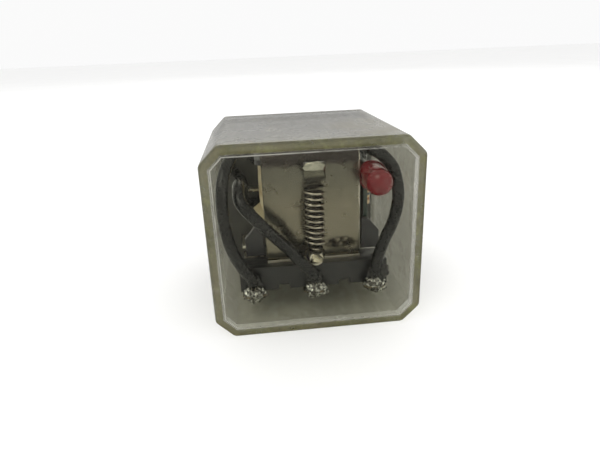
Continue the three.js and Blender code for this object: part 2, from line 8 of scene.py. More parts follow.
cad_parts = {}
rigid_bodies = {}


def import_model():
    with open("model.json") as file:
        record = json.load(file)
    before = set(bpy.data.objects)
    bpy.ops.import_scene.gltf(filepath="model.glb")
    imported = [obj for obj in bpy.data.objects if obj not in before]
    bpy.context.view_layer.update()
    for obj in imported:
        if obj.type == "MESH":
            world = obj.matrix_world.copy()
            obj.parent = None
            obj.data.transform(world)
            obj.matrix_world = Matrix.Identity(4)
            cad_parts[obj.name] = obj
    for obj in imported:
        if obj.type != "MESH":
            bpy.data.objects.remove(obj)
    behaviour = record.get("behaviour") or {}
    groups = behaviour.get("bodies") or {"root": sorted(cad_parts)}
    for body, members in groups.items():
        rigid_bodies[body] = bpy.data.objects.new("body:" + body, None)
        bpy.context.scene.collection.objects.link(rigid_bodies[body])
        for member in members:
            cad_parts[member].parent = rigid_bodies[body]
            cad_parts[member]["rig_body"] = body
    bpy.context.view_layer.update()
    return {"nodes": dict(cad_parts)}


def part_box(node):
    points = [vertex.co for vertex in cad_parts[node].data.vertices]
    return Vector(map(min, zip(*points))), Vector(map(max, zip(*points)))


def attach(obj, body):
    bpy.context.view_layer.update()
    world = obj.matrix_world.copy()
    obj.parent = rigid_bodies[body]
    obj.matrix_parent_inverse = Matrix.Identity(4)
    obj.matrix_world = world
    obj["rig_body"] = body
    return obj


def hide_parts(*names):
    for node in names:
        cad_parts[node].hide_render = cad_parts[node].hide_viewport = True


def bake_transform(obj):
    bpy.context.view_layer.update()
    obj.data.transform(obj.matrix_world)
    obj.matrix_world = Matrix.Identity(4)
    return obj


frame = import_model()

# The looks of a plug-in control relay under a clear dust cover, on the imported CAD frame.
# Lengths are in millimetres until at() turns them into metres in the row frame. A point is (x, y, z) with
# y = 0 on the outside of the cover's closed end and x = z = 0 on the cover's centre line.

MM = 0.001

COVER_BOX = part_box("dust_cover")
FRONT_Y = COVER_BOX[0].y
CENTRE_Z = (COVER_BOX[0].z + COVER_BOX[1].z) / 2
COVER = {"width": 38.9, "height": 36.2, "length": 36.0, "wall": 1.5, "chamfer": 3.3}
MOTOR_X = 0.4                   # the motor's middle
FRAME_FACE = 9.4                # the front of the frame's plate
HINGE = (FRAME_FACE, -7.0)      # (y, z) of the line that the armature rocks on
SPRING = {"radius": 1.72, "wire": 0.27, "y": 6.6, "bottom": -2.7, "top": 8.2, "turns": 10, "loop": 1.6}
OPEN = math.radians(3.5)        # how far the armature hangs open at rest
POLES = {"left": -11.9, "middle": 0.0, "right": 11.9}
ORIGIN = {"X": 0.0, "Y": FRONT_Y / MM, "Z": CENTRE_Z / MM}      # of the cover's points, in the row frame
BAND_SCALE = 1 / 3.14           # at this scale a wave texture's bands are about 1 mm apart


def at(x, y, z):
    return Vector((x * MM, y * MM + FRONT_Y, z * MM + CENTRE_Z))


def on_armature(x, y, z):
    """A point given from the hinge line on the closed armature, placed as the armature rests, open."""
    c, s = math.cos(OPEN), math.sin(OPEN)
    return at(x, HINGE[0] + y * c + z * s, HINGE[1] - y * s + z * c)


# ---------------------------------------------------------------- materials

class Nodes:
    """Adds nodes to one material and links them, with the coordinates in millimetres."""

    def __init__(self, name, colour, roughness=0.4, metallic=0.0, **sockets):
        self.material = bpy.data.materials.new(name)
        self.material.use_nodes = True
        self.tree = self.material.node_tree
        self.shader = self.tree.nodes["Principled BSDF"]
        self.set("Base Color", colour)
        self.set("Roughness", roughness)
        self.set("Metallic", metallic)
        for socket, value in sockets.items():
            self.set(socket.replace("_", " "), value)
        coordinates = self.tree.nodes.new("ShaderNodeTexCoord")
        scale = self.add("ShaderNodeVectorMath", operation="SCALE")
        self.link(coordinates.outputs["Object"], scale.inputs[0])
        scale.inputs["Scale"].default_value = 1 / MM
        self.place = scale.outputs[0]

    def add(self, kind, **properties):
        node = self.tree.nodes.new(kind)
        for key, value in properties.items():
            setattr(node, key, value)
        return node

    def link(self, source, target):
        self.tree.links.new(source, target)

    def put(self, value, socket):
        """Links an output, or sets a plain value."""
        if isinstance(value, bpy.types.NodeSocket):
            self.link(value, socket)
        elif isinstance(value, (tuple, list)) and len(value) == 3 and len(socket.default_value) == 4:
            socket.default_value = (*value, 1)
        else:
            socket.default_value = value

    def set(self, socket, value):
        self.put(value, self.shader.inputs[socket])

    def math(self, operation, a, b=0.0, clamp=False):
        node = self.add("ShaderNodeMath", operation=operation, use_clamp=clamp)
        self.put(a, node.inputs[0])
        self.put(b, node.inputs[1])
        return node.outputs[0]

    def plus(self, a, b, clamp=False):
        return self.math("ADD", a, b, clamp)

    def minus(self, a, b):
        return self.math("SUBTRACT", a, b)

    def times(self, a, b):
        return self.math("MULTIPLY", a, b)

    def either(self, a, b):
        return self.math("MAXIMUM", a, b)

    def split(self):
        """The X, Y and Z of a point, in the row frame's millimetres."""
        node = self.add("ShaderNodeSeparateXYZ")
        self.link(self.place, node.inputs[0])
        return node.outputs

    def stretch(self, x, y, z):
        node = self.add("ShaderNodeVectorMath", operation="MULTIPLY")
        self.link(self.place, node.inputs[0])
        node.inputs[1].default_value = (x, y, z)
        return node.outputs[0]

    def noise(self, size, detail=3, roughness=0.5, place=None):
        """Noise whose features are about `size` millimetres across."""
        node = self.add("ShaderNodeTexNoise")
        self.link(place or self.place, node.inputs["Vector"])
        node.inputs["Scale"].default_value = 1 / size
        node.inputs["Detail"].default_value = detail
        node.inputs["Roughness"].default_value = roughness
        return node.outputs["Fac"]

    def wave(self, spacing, direction="Z", distortion=0.0):
        """Bands about `spacing` millimetres apart."""
        node = self.add("ShaderNodeTexWave", bands_direction=direction)
        self.link(self.place, node.inputs["Vector"])
        node.inputs["Scale"].default_value = 1 / spacing * BAND_SCALE
        node.inputs["Distortion"].default_value = distortion
        return node.outputs["Fac"]

    def ramp(self, value, low, high, out_low=0.0, out_high=1.0):
        """Goes smoothly from `out_low` to `out_high` while the value goes from `low` to `high`."""
        node = self.add("ShaderNodeMapRange", interpolation_type="SMOOTHSTEP")
        self.put(value, node.inputs["Value"])
        for key, number in zip(("From Min", "From Max", "To Min", "To Max"), (low, high, out_low, out_high)):
            node.inputs[key].default_value = number
        return node.outputs["Result"]

    def mix(self, share, a, b):
        node = self.add("ShaderNodeMix", data_type="RGBA")
        self.put(share, node.inputs[0])
        self.put(a, node.inputs[6])
        self.put(b, node.inputs[7])
        return node.outputs[2]

    def mix_shaders(self, share, a, b):
        node = self.add("ShaderNodeMixShader")
        self.put(share, node.inputs[0])
        self.link(a, node.inputs[1])
        self.link(b, node.inputs[2])
        return node.outputs[0]

    def bump(self, height, depth):
        """A bump whose full height is `depth` millimetres."""
        node = self.add("ShaderNodeBump")
        node.inputs["Strength"].default_value = 1.0
        node.inputs["Distance"].default_value = depth * MM
        self.link(height, node.inputs["Height"])
        self.link(node.outputs[0], self.shader.inputs["Normal"])

    def near(self, x, y, z, reach):
        """1 near a point given in the cover's millimetres, falling to 0 at `reach` (x, y, z) from it."""
        node = self.add("ShaderNodeVectorMath", operation="SUBTRACT")
        self.link(self.place, node.inputs[0])
        node.inputs[1].default_value = (x, y + ORIGIN["Y"], z + ORIGIN["Z"])
        flat = self.add("ShaderNodeVectorMath", operation="DIVIDE")
        self.link(node.outputs[0], flat.inputs[0])
        flat.inputs[1].default_value = reach
        length = self.add("ShaderNodeVectorMath", operation="LENGTH")
        self.link(flat.outputs[0], length.inputs[0])
        return self.ramp(length.outputs["Value"], 0.55, 1, 1, 0)


def metal(name, colour, dark, roughness, brush=(1, 1, 1), stain=0.35, grain=0.0005, places=(), smear=None):
    """A plated or bare metal with rolling marks, dull patches and darker grime in the patches.

    `brush` stretches the marks, `stain` is how strong the grime is and `grain` is the marks' depth.
    Each of `places` is (axis, from, to, colour): the metal fades to that colour between two positions.
    `smear` is the middle of a dark, blotchy mark.
    """
    m = Nodes(name, colour, roughness, 1.0)
    marks = m.noise(0.5, 3, 0.6, m.stretch(*brush))
    patches = m.noise(3.5, 5, 0.62)
    specks = m.noise(0.5, 2, 0.5)
    grime = m.ramp(patches, 0.5, 0.72, 0, stain)
    spots = m.ramp(specks, 0.73, 0.80, 0, stain)
    shade = colour
    for axis, start, end, other in places:
        wavy = m.plus(m.split()[axis], m.ramp(patches, 0.3, 0.7, -0.25, 0.25))
        low, high = sorted((start, end))
        ends = (0, 1) if end > start else (1, 0)
        shade = m.mix(m.ramp(wavy, low + ORIGIN[axis], high + ORIGIN[axis], *ends), shade, other)
    if smear:
        dark_blotch = m.times(m.near(*smear, (4.4, 2, 1.5)), m.ramp(m.noise(0.9, 4, 0.7), 0.38, 0.52))
        shade = m.mix(dark_blotch, shade, tuple(c * 0.25 for c in dark))
    m.set("Base Color", m.mix(m.either(grime, spots), shade, dark))
    varied = m.plus(m.ramp(marks, 0.3, 0.7, roughness * 0.95, roughness * 1.05),
                    m.times(grime, 0.2))
    m.set("Roughness", varied)
    m.bump(m.plus(marks, m.times(patches, 0.6)), grain)
    return m.material


def metal_with_painted_glints(name, bright, dark, roughness, size, depth, high, axis=None):
    """A tarnished metal with lumps of the given size and depth, with painted glints on its high spots.

    A spot is high where the lumps rise through the range `high`, or, round an upright `axis` (x, y), where
    it stands that far out from the axis.
    """
    m = Nodes(name, dark, roughness, 1.0)
    lumps = m.noise(size, 3, 0.6)
    tarnish = m.noise(1.6, 4, 0.6)
    height = lumps
    if axis:
        out = m.add("ShaderNodeVectorMath", operation="SUBTRACT")
        m.link(m.stretch(1, 1, 0), out.inputs[0])
        out.inputs[1].default_value = (axis[0], axis[1] + ORIGIN["Y"], 0)
        length = m.add("ShaderNodeVectorMath", operation="LENGTH")
        m.link(out.outputs[0], length.inputs[0])
        height = length.outputs["Value"]
    # painted glints: the high spots are painted bright
    painted_glints = m.times(m.ramp(height, *high), m.ramp(tarnish, 0.3, 0.55, 0.5, 1))
    m.set("Base Color", m.mix(painted_glints, dark, bright))
    m.set("Roughness", m.ramp(tarnish, 0.3, 0.7, roughness * 0.8, roughness * 1.3))
    m.bump(lumps, depth)
    return m.material


def moulded(name, colour, light, roughness, texture=0.02, size=0.18):
    """A moulded plastic: fine spark-eroded texture, flow marks and rubbed lighter places."""
    m = Nodes(name, colour, roughness)
    flow = m.noise(4.0, 4, 0.6, m.stretch(1, 0.4, 1))
    fine = m.noise(size, 3, 0.6)
    dust = m.ramp(m.noise(0.35, 4, 0.7), 0.62, 0.8, 0, 0.5)
    m.set("Base Color", m.mix(m.either(m.ramp(flow, 0.4, 0.75, 0, 0.6), dust), colour, light))
    m.set("Roughness", m.ramp(flow, 0.3, 0.7, roughness * 0.85, min(1, roughness * 1.2)))
    m.bump(fine, texture)
    return m.material


def octagon_distance(m, half_width, half_height, chamfer):
    """How far, in millimetres, a point stands outside an octagon drawn on the cover's cross-section."""
    place = m.split()
    x = m.math("ABSOLUTE", place["X"])
    z = m.math("ABSOLUTE", m.minus(place["Z"], ORIGIN["Z"]))
    sides = m.either(m.minus(x, half_width), m.minus(z, half_height))
    reach = half_width + half_height - chamfer
    corner = m.math("DIVIDE", m.minus(m.plus(x, z), reach), math.sqrt(2))
    return m.either(sides, corner)


def clear_cover():
    """Aged clear plastic: nearly clear in the closed end, hazy in the walls, olive through their edges."""
    m = Nodes("clear_cover_plastic", (0.20, 0.20, 0.18), 0.32, 0.0, Specular_IOR_Level=0.3)
    line_inset, line_chamfer = 1.75, 2.2
    half_w, half_h = COVER["width"] / 2, COVER["height"] / 2
    outside = octagon_distance(m, half_w - line_inset, half_h - line_inset, line_chamfer)
    depth = m.minus(m.split()["Y"], ORIGIN["Y"])

    # Where things are: the closed end, its rim, the open mouth, the stains on the upper wall and a painted
    # highlight line.
    rim = m.ramp(outside, -0.15, 0.35)
    front = m.ramp(depth, 1.2, 2.6, 1, 0)
    mouth = m.ramp(depth, COVER["length"] - 1.2, COVER["length"] - 0.4, 0, 1)
    edge = m.either(m.times(front, rim), mouth)
    face = m.ramp(depth, 0.25, 0.7, 1, 0)
    cloud = m.noise(7, 5, 0.62)
    streaks = m.noise(1.3, 4, 0.65, m.stretch(1, 0.16, 1))
    label = m.times(m.near(-9.8, 11.5, half_h, (3.4, 15, 1)), m.ramp(streaks, 0.35, 0.65, 0.4, 1))
    smudge = m.times(m.near(11.5, 11.0, half_h, (8.5, 13, 1)), m.ramp(cloud, 0.25, 0.6, 0.3, 1))
    # A thin painted highlight line along the inside of the rim.
    from_line = m.math("ABSOLUTE", m.plus(outside, 0.22))
    painted_highlight_line = m.times(m.times(m.ramp(from_line, 0.06, 0.17, 1, 0), face), m.ramp(cloud, 0.35, 0.6, 0.35, 1))

    # How much of the light each of them scatters. A slanting ray crosses more of a hazy wall.
    slant = m.add("ShaderNodeLayerWeight")
    slant.inputs["Blend"].default_value = 0.5
    uneven = m.plus(m.ramp(cloud, 0.3, 0.7, -0.06, 0.06), m.ramp(streaks, 0.4, 0.7, -0.03, 0.06))
    wall_haze = m.plus(m.ramp(slant.outputs["Facing"], 0, 0.75, 0.22, 0.68), uneven)
    wall_haze = m.plus(wall_haze, m.times(label, 0.12))
    wall_haze = m.plus(wall_haze, m.times(smudge, 0.18))
    scuffs = m.ramp(m.noise(0.5, 3, 0.7, m.stretch(1, 0.3, 2.2)), 0.6, 0.78, 0, 0.35)
    end_haze = m.plus(m.ramp(cloud, 0.35, 0.75, 0.016, 0.030), m.times(scuffs, 0.06))
    flat_haze = m.plus(m.times(m.minus(1, front), wall_haze), m.times(front, end_haze))
    rim_haze = m.ramp(streaks, 0.3, 0.7, 0.72, 0.90)
    haze = m.plus(m.times(m.minus(1, edge), flat_haze), m.times(edge, rim_haze), clamp=True)
    haze = m.either(haze, m.times(painted_highlight_line, 0.8))

    m.set("Base Color", cover_colour(m, outside, edge, face, cloud, streaks, label, smudge, painted_highlight_line))
    m.set("Roughness", m.ramp(cloud, 0.3, 0.7, 0.22, 0.36))
    m.bump(m.times(m.plus(cloud, streaks), m.minus(1.05, front)), 0.02)

    clear = m.add("ShaderNodeBsdfTransparent")
    clear.inputs[0].default_value = (0.86, 0.86, 0.82, 1)
    glow = m.add("ShaderNodeBsdfTranslucent")
    # The glow is darker at the label and the smudge: stains there, and painted shade on the sides of the top.
    glow_stains_and_shade = m.mix(m.either(smudge, label), (0.42, 0.41, 0.37), (0.25, 0.235, 0.19))
    m.put(m.mix(edge, glow_stains_and_shade, (0.16, 0.152, 0.078)), glow.inputs["Color"])
    film = m.mix_shaders(0.5, m.shader.outputs[0], glow.outputs[0])
    hazy = m.mix_shaders(haze, clear.outputs[0], film)
    mirror = m.add("ShaderNodeBsdfGlossy")
    m.put(m.ramp(front, 0, 1, 0.26, 0.07), mirror.inputs["Roughness"])
    sheen = m.times(m.math("POWER", slant.outputs["Facing"], 5), 0.6)
    shiny = m.mix_shaders(m.times(sheen, m.ramp(front, 0, 1, 0.6, 1)), hazy, mirror.outputs[0])

    # Shadow rays and light that has already bounced inside pass through.
    paths = m.add("ShaderNodeLightPath")
    bounced = m.either(paths.outputs["Is Diffuse Ray"], paths.outputs["Is Glossy Ray"])
    passing = m.add("ShaderNodeBsdfTransparent")
    passing.inputs[0].default_value = (0.90, 0.90, 0.87, 1)
    lit = m.mix_shaders(m.either(paths.outputs["Is Shadow Ray"], bounced), shiny, passing.outputs[0])
    m.link(lit, m.tree.nodes["Material Output"].inputs["Surface"])
    return m.material


def cover_colour(m, outside, edge, face, cloud, streaks, label, smudge, painted_highlight_line):
    """Mottled olive edges, grey walls with painted light inside and low down, yellowed or pale stains on top,
    painted rim lines.
    """
    olive = m.mix(m.ramp(cloud, 0.35, 0.7), (0.088, 0.090, 0.032), (0.135, 0.116, 0.056))
    mottled = m.noise(2.4, 4, 0.7)
    olive = m.mix(m.ramp(mottled, 0.52, 0.68, 0, 0.8), olive, (0.215, 0.215, 0.085))
    olive = m.mix(m.ramp(mottled, 0.32, 0.46, 0.8, 0), olive, (0.055, 0.048, 0.022))
    grey = m.mix(m.ramp(streaks, 0.35, 0.7), (0.118, 0.114, 0.098), (0.165, 0.160, 0.142))
    # painted light: the walls' inner faces are painted lighter
    painted_light_grey = m.mix(0.45, grey, (0.36, 0.355, 0.32))
    grey = m.mix(m.ramp(outside, 0.6, 1.2), painted_light_grey, grey)
    # painted light on the inside of the lower wall, at the left
    painted_light_low = m.near(-7, 10, -17.6, (13, 16, 2))
    grey = m.mix(m.times(painted_light_low, 0.75), grey, (0.40, 0.395, 0.35))
    yellowed = m.mix(m.times(smudge, 0.8), grey, (0.22, 0.195, 0.115))
    tinted = m.mix(label, yellowed, (0.225, 0.22, 0.205))
    # a painted dark line along the rim's outer edge, in patches
    patchy_face = m.times(face, m.ramp(cloud, 0.4, 0.6, 0.2, 0.8))
    painted_dark_edge = m.times(m.ramp(outside, 1.2, 1.55), patchy_face)
    shaded = m.mix(painted_dark_edge, m.mix(edge, tinted, olive), (0.045, 0.040, 0.020))
    # painted highlight along the rim's inner line
    return m.mix(painted_highlight_line, shaded, (0.50, 0.49, 0.44))


def wound_copper(name, colour, dark):
    """Enamelled wire, laid turn by turn."""
    m = Nodes(name, colour, 0.3, 0.85, Coat_Weight=0.4, Coat_Roughness=0.2)
    turns = m.wave(0.22, "Z", 0.4)
    # painted shade in the grooves between the turns
    m.set("Base Color", m.mix(m.ramp(turns, 0.1, 0.6), dark, colour))
    m.bump(turns, 0.06)
    return m.material


def cloth_tape():
    """Woven cotton tape, varnished and stained."""
    m = Nodes("coil_tape_cloth", (0.56, 0.46, 0.27), 0.55, 0.0, Coat_Weight=0.25, Coat_Roughness=0.35)
    warp = m.wave(0.32, "Z")
    weft = m.wave(0.32, "X")
    weave = m.times(warp, weft)
    stain = m.noise(3.0, 5, 0.6)
    m.set("Base Color", m.mix(m.ramp(stain, 0.42, 0.72), (0.60, 0.51, 0.31), (0.42, 0.31, 0.15)))
    m.set("Roughness", m.ramp(stain, 0.3, 0.7, 0.45, 0.7))
    m.bump(m.plus(weave, m.times(stain, 2.0)), 0.03)
    return m.material


def lead_sleeve():
    """Glossy black sleeving with fine ridges and some dust."""
    m = Nodes("lead_sleeve_black", (0.012, 0.012, 0.012), 0.3, 0.0, Specular_IOR_Level=0.35)
    dust = m.ramp(m.noise(0.7, 4, 0.7), 0.55, 0.8, 0, 0.35)
    ridges = m.noise(0.5, 3, 0.6)
    m.set("Base Color", m.mix(dust, (0.006, 0.006, 0.006), (0.020, 0.0195, 0.019)))
    m.set("Roughness", m.ramp(ridges, 0.3, 0.7, 0.13, 0.32))
    m.bump(ridges, 0.03)
    return m.material


def lamp_red():
    """Red epoxy, a little cloudy."""
    m = Nodes("lamp_red_epoxy", (0.50, 0.012, 0.03), 0.12, 0.0, Transmission_Weight=0.15, IOR=1.45,
              Coat_Weight=0.15, Coat_Roughness=0.12)
    cloud = m.noise(1.6, 3, 0.5)
    m.set("Base Color", m.mix(m.ramp(cloud, 0.35, 0.7), (0.165, 0.006, 0.011), (0.225, 0.015, 0.022)))
    m.set("Roughness", m.ramp(cloud, 0.3, 0.7, 0.16, 0.30))
    m.bump(m.noise(0.5, 2, 0.5), 0.01)
    return m.material


def board_face():
    """Green solder mask over a glass weave, with the tracks standing a little proud."""
    m = Nodes("board_solder_mask", (0.010, 0.035, 0.020), 0.35, 0.0, Coat_Weight=0.5, Coat_Roughness=0.2)
    weave = m.times(m.wave(0.5, "Y"), m.wave(0.5, "Z"))
    place = m.split()
    flat = m.add("ShaderNodeCombineXYZ")
    m.link(place["Y"], flat.inputs["X"])
    m.link(place["Z"], flat.inputs["Y"])
    routes = m.add("ShaderNodeTexBrick", offset=0.37, squash=1.6, squash_frequency=3)
    m.link(flat.outputs[0], routes.inputs["Vector"])
    sizes = {"Scale": 1.0, "Mortar Size": 0.16, "Mortar Smooth": 0.15, "Brick Width": 4.3, "Row Height": 1.35}
    for socket, value in sizes.items():
        routes.inputs[socket].default_value = value
    tracks = routes.outputs["Fac"]
    m.set("Base Color", m.mix(tracks, (0.012, 0.034, 0.022), (0.019, 0.052, 0.031)))
    m.bump(m.plus(m.times(weave, 0.3), tracks), 0.02)
    return m.material


def banded(name, body, bands, centre, pitch, width):
    """A lacquered component body that lies along Z, with painted rings of the given pitch and width."""
    m = Nodes(name, body, 0.25, 0.0, Coat_Weight=0.6, Coat_Roughness=0.1)
    place = m.split()
    colour = m.mix(m.ramp(m.noise(0.6), 0.4, 0.7), body, tuple(c * 0.8 for c in body))
    for i, band in enumerate(bands):
        middle = centre + ORIGIN["Z"] + (i - (len(bands) - 1) / 2) * pitch
        away = m.math("ABSOLUTE", m.minus(place["Z"], middle))
        colour = m.mix(m.ramp(away, width * 0.5, width * 0.6, 1, 0), colour, band)
    m.set("Base Color", colour)
    m.bump(m.noise(0.4), 0.01)
    return m.material


NICKEL = metal("nickel_plate", (0.225, 0.205, 0.155), (0.07, 0.06, 0.04), 0.24, brush=(0.15, 1, 1), stain=0.3,
               places=[("Z", 2.0, 11.0, (0.145, 0.138, 0.112)),      # painted shade: darker towards the top
                       ("Z", 11.2, 12.2, (0.060, 0.052, 0.048)),     # painted dark reflection where the plate bends back
                       ("Y", 11.6, 12.6, (0.24, 0.22, 0.17)),        # the top leg
                       ("X", 9.5, 9.7, (0.52, 0.49, 0.42))],         # painted highlight along the plate's right edge
               smear=(5.8, FRAME_FACE, -4.3))
# The armature's front edge is painted bright: a painted highlight.
ARMATURE_STEEL = metal("armature_plate", (0.34, 0.31, 0.24), (0.10, 0.085, 0.06), 0.33, brush=(1, 0.15, 1),
                       places=[("Y", 10.0, 9.3, (0.60, 0.56, 0.46))])
IRON = metal("core_iron", (0.34, 0.33, 0.31), (0.12, 0.10, 0.08), 0.38, stain=0.4)
TINNED = metal("tinned_brass", (0.62, 0.59, 0.50), (0.34, 0.28, 0.17), 0.28, brush=(1, 0.12, 1))
BRONZE = metal("spring_bronze", (0.17, 0.145, 0.105), (0.07, 0.055, 0.04), 0.32, brush=(1, 0.1, 1), stain=0.4)
SILVER = metal("contact_silver", (0.74, 0.72, 0.67), (0.30, 0.27, 0.22), 0.30, stain=0.5)
# The tongue: a painted highlight along its crest and painted shade towards its bottom.
TONGUE = metal("tongue_nickel", (0.125, 0.120, 0.092), (0.05, 0.045, 0.035), 0.16, brush=(0.3, 1, 1),
               stain=0.5, grain=0.035,
               places=[("Z", 12.5, 12.9, (0.70, 0.68, 0.60)), ("Z", 11.9, 12.05, (0.42, 0.41, 0.34)),
                       ("Z", 11.8, 11.6, (0.15, 0.145, 0.11)), ("Z", 11.1, 10.5, (0.045, 0.042, 0.034))])
STRANDS = metal("tinned_strands", (0.30, 0.27, 0.21), (0.10, 0.08, 0.05), 0.3)
# Painted glints on the spring's outer faces and on the solder's and hook's lumps.
WIRE_STEEL = metal_with_painted_glints("spring_wire", (0.46, 0.42, 0.35), (0.048, 0.042, 0.032), 0.22, size=0.6, depth=0.01,
                  high=(1.84, 1.94), axis=(MOTOR_X, SPRING["y"]))
SOLDER = metal_with_painted_glints("solder_painted_glints", (0.56, 0.56, 0.52), (0.074, 0.070, 0.060), 0.16, size=0.55, depth=0.14,
              high=(0.48, 0.58))
ANCHOR = metal_with_painted_glints("hook_metal", (0.62, 0.57, 0.42), (0.105, 0.095, 0.066), 0.18, size=1.1, depth=0.12,
              high=(0.42, 0.56))
BLACK = moulded("carrier_phenolic", (0.006, 0.006, 0.0065), (0.022, 0.021, 0.020), 0.36)
BOBBIN_GREY = moulded("bobbin_nylon", (0.030, 0.029, 0.032), (0.066, 0.065, 0.066), 0.42)
BASE_PLASTIC = moulded("base_phenolic", (0.035, 0.034, 0.030), (0.085, 0.082, 0.072), 0.45, texture=0.03)
SCORCHED = moulded("scorched_sleeve", (0.010, 0.010, 0.009), (0.034, 0.032, 0.028), 0.5, texture=0.06,
                   size=0.3)
COPPER = wound_copper("winding_copper", (0.62, 0.26, 0.10), (0.22, 0.06, 0.02))
RESISTOR = banded("resistor_lacquer", (0.52, 0.36, 0.18),
                  [(0.25, 0.09, 0.03), (0.02, 0.02, 0.02), (0.45, 0.03, 0.02), (0.55, 0.42, 0.12)],
                  centre=3.0, pitch=1.1, width=0.55)
DIODE = banded("diode_glass", (0.03, 0.03, 0.03), [(0.6, 0.6, 0.58)], centre=4.2, pitch=1.0, width=0.5)
TAPE = cloth_tape()
SLEEVE = lead_sleeve()
RED = lamp_red()
BOARD = board_face()
CLEAR = clear_cover()


# ---------------------------------------------------------------- mesh helpers

def finish_mesh(bm, name, material, sharp=35, smooth=True):
    bmesh.ops.recalc_face_normals(bm, faces=bm.faces)
    mesh = bpy.data.meshes.new(name)
    bm.to_mesh(mesh)
    bm.free()
    if smooth:
        mesh.shade_smooth()
        mesh.set_sharp_from_angle(angle=math.radians(sharp))
    mesh.materials.append(material)
    piece = bpy.data.objects.new(name, mesh)
    bpy.context.scene.collection.objects.link(piece)
    return piece


def refined(node, material, edge, segments, sharp=24):
    """The CAD node's own shape with its edges rounded by `edge` millimetres, in place of the node."""
    source = frame["nodes"][node]
    bm = bmesh.new()
    bm.from_mesh(source.data)
    bmesh.ops.remove_doubles(bm, verts=bm.verts, dist=0.002 * MM)
    bmesh.ops.dissolve_limit(bm, angle_limit=math.radians(1.5), verts=bm.verts, edges=bm.edges)
    edges = [e for e in bm.edges if e.is_manifold and e.calc_face_angle(0) > math.radians(sharp)]
    bmesh.ops.bevel(bm, geom=edges, offset=edge * MM, segments=segments, affect="EDGES", profile=0.6,
                    clamp_overlap=True)
    piece = finish_mesh(bm, node + "_look", material)
    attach(piece, source["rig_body"])
    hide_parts(node)


def smooth_path(points, steps):
    """A centripetal Catmull-Rom curve through the points, with `steps` points on each stretch."""
    pts = [points[0] * 2 - points[1], *points, points[-1] * 2 - points[-2]]
    path = []
    for i in range(1, len(pts) - 2):
        quad = pts[i - 1:i + 3]
        knots = [0.0]
        for a, b in zip(quad, quad[1:]):
            knots.append(knots[-1] + max((b - a).length, 1e-9) ** 0.5)

        def blend(a, b, low, high, t):
            return a * ((high - t) / (high - low)) + b * ((t - low) / (high - low))

        for step in range(steps):
            t = knots[1] + (knots[2] - knots[1]) * step / steps
            a1 = blend(quad[0], quad[1], knots[0], knots[1], t)
            a2 = blend(quad[1], quad[2], knots[1], knots[2], t)
            a3 = blend(quad[2], quad[3], knots[2], knots[3], t)
            b1 = blend(a1, a2, knots[0], knots[2], t)
            b2 = blend(a2, a3, knots[1], knots[3], t)
            path.append(blend(b1, b2, knots[1], knots[2], t))
    path.append(points[-1])
    return path


def tube(bm, path, radius, sides):
    """Adds a closed tube along the path. A radius may be a function of (share of the length, angle)."""
    rings = []
    side = (path[1] - path[0]).normalized().orthogonal().normalized()
    for i, point in enumerate(path):
        ahead = path[min(i + 1, len(path) - 1)] - path[max(i - 1, 0)]
        ahead.normalize()
        side = (side - ahead * side.dot(ahead)).normalized()
        other = ahead.cross(side)
        share = i / (len(path) - 1)
        ring = []
        for k in range(sides):
            angle = 2 * math.pi * k / sides
            r = (radius(share, angle) if callable(radius) else radius) * MM
            ring.append(bm.verts.new(point + (side * math.cos(angle) + other * math.sin(angle)) * r))
        rings.append(ring)
    for a, b in zip(rings, rings[1:]):
        for k in range(sides):
            bm.faces.new((a[k], a[(k + 1) % sides], b[(k + 1) % sides], b[k]))
    bm.faces.new(list(reversed(rings[0])))
    bm.faces.new(rings[-1])


def stack(bm, loops, capped=True):
    """Joins closed loops of points with faces. The two ends are capped, or else joined to each other."""
    rings = [[bm.verts.new(p) for p in loop] for loop in loops]
    count = len(rings[0])
    following = rings[1:] if capped else rings[1:] + rings[:1]
    for a, b in zip(rings, following):
        for k in range(count):
            bm.faces.new((a[k], a[(k + 1) % count], b[(k + 1) % count], b[k]))
    if capped:
        bm.faces.new(list(reversed(rings[0])))
        bm.faces.new(rings[-1])


def rounded_octagon(half_width, half_height, chamfer, radius, steps=4):
    """(x, z) points of an octagon whose eight corners are rounded."""
    w, h, c = half_width, half_height, chamfer
    corners = [Vector(p) for p in ((w, -h + c), (w, h - c), (w - c, h), (-w + c, h),
                                   (-w, h - c), (-w, -h + c), (-w + c, -h), (w - c, -h))]
    points = []
    for i, corner in enumerate(corners):
        before = (corners[i - 1] - corner).normalized()
        after = (corners[(i + 1) % 8] - corner).normalized()
        reach = radius * math.tan(math.radians(22.5))
        start, end = corner + before * reach, corner + after * reach
        for k in range(steps + 1):
            t = k / steps
            points.append(start * (1 - t) ** 2 + corner * 2 * t * (1 - t) + end * t ** 2)
    return points


def rounded_rectangle(half_w, half_h, corner, steps):
    """Points of a rectangle with round corners, each in `steps` steps."""
    w, h = half_w - corner, half_h - corner
    points = []
    for cx, cy, start in ((w, h, 0), (-w, h, 90), (-w, -h, 180), (w, -h, 270)):
        for k in range(steps + 1):
            a = math.radians(start + 90 * k / steps)
            points.append((cx + corner * math.cos(a), cy + corner * math.sin(a)))
    return points


# ---------------------------------------------------------------- dust cover

